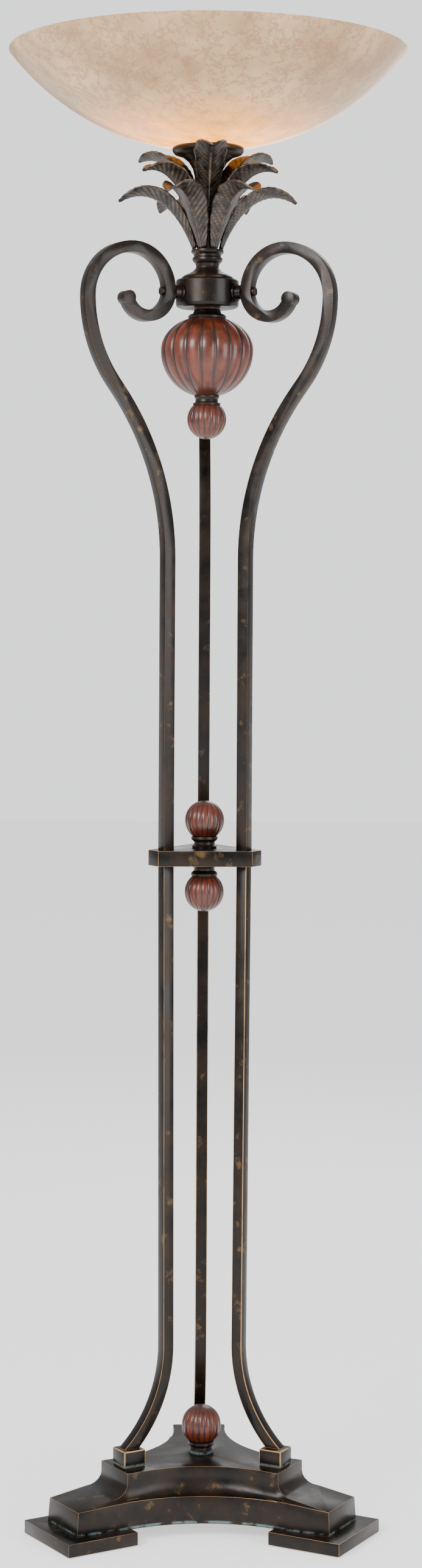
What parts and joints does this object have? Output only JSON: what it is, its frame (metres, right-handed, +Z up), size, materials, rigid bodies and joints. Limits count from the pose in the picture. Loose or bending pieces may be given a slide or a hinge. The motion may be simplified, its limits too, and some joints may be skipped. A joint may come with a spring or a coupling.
{
  "type": "floor lamp",
  "caption": "Torchiere floor lamp with scrolled square-bar legs, a cast plinth, a leaf crown and an upturned glass bowl.",
  "frame": {"origin": "on the floor under the middle of the lamp", "axes": "+Z up, -Y to the front, one leg at the rear (+Y) and two at the front"},
  "size_m": [0.496, 0.496, 1.8241],
  "materials": {
    "bronze": "dark bronze paint rubbed to gold on the edges",
    "leaf_bronze": "dark bronze paint with pale wax in the engraving",
    "mahogany_bead": "polished mahogany red",
    "felt": "felt",
    "steel": "plain",
    "iron": "painted",
    "rubber": "matte",
    "knob": "matte",
    "brass": "satin",
    "bowl_glass": "mottled amber and cream",
    "bulb_glass": "frosted"
  },
  "bodies": {
    "lamp": {"plinth": "bronze", "foot_rear": "bronze", "foot_left": "bronze", "foot_right": "bronze", "felt_pads": "felt", "ballast": "iron", "bottom_cover": "iron", "cover_screws": "steel", "foot_screws": "steel", "cord_bushing": "rubber", "leg_shoe_rear": "bronze", "leg_shoe_left": "bronze", "leg_shoe_right": "bronze", "lower_leg_rear": "bronze", "lower_leg_left": "bronze", "lower_leg_right": "bronze", "upper_leg_rear": "bronze", "upper_leg_left": "bronze", "upper_leg_right": "bronze", "leg_studs": "steel", "middle_plate": "bronze", "middle_bead_upper": "mahogany_bead", "middle_collar_upper": "bronze", "middle_collar_lower": "bronze", "middle_bead_lower": "mahogany_bead", "middle_tie_rod": "steel", "base_bead": "mahogany_bead", "base_collar": "bronze", "base_tie_rod": "steel", "hub": "bronze", "hub_spacers": "bronze", "hub_screws": "bronze", "hub_collar": "bronze", "urn": "mahogany_bead", "urn_neck": "bronze", "pendant_bead": "mahogany_bead", "neck": "bronze", "centre_pipe": "brass", "bowl_cup": "bronze", "low_leaf_1": "leaf_bronze", "low_leaf_2": "leaf_bronze", "low_leaf_3": "leaf_bronze", "low_leaf_4": "leaf_bronze", "low_leaf_5": "leaf_bronze", "low_leaf_6": "leaf_bronze", "mid_leaf_1": "leaf_bronze", "mid_leaf_2": "leaf_bronze", "mid_leaf_3": "leaf_bronze", "top_leaf_1": "leaf_bronze", "top_leaf_2": "leaf_bronze", "top_leaf_3": "leaf_bronze", "glass_bowl": "bowl_glass", "bowl_gasket": "rubber", "retainer_ring": "brass", "holder_body": "brass", "holder_screw_shell": "brass", "bulb_cap": "steel", "bulb": "bulb_glass"},
    "switch": {"switch_shaft": "steel", "switch_knob": "knob"}
  },
  "joints": [
    {"name": "switch_turn", "type": "hinge", "parent": "lamp", "child": "switch", "pos_m": [0, -0.03, 1.723], "axis": [0, -1, 0], "range_deg": [-180, 180]}
  ]
}
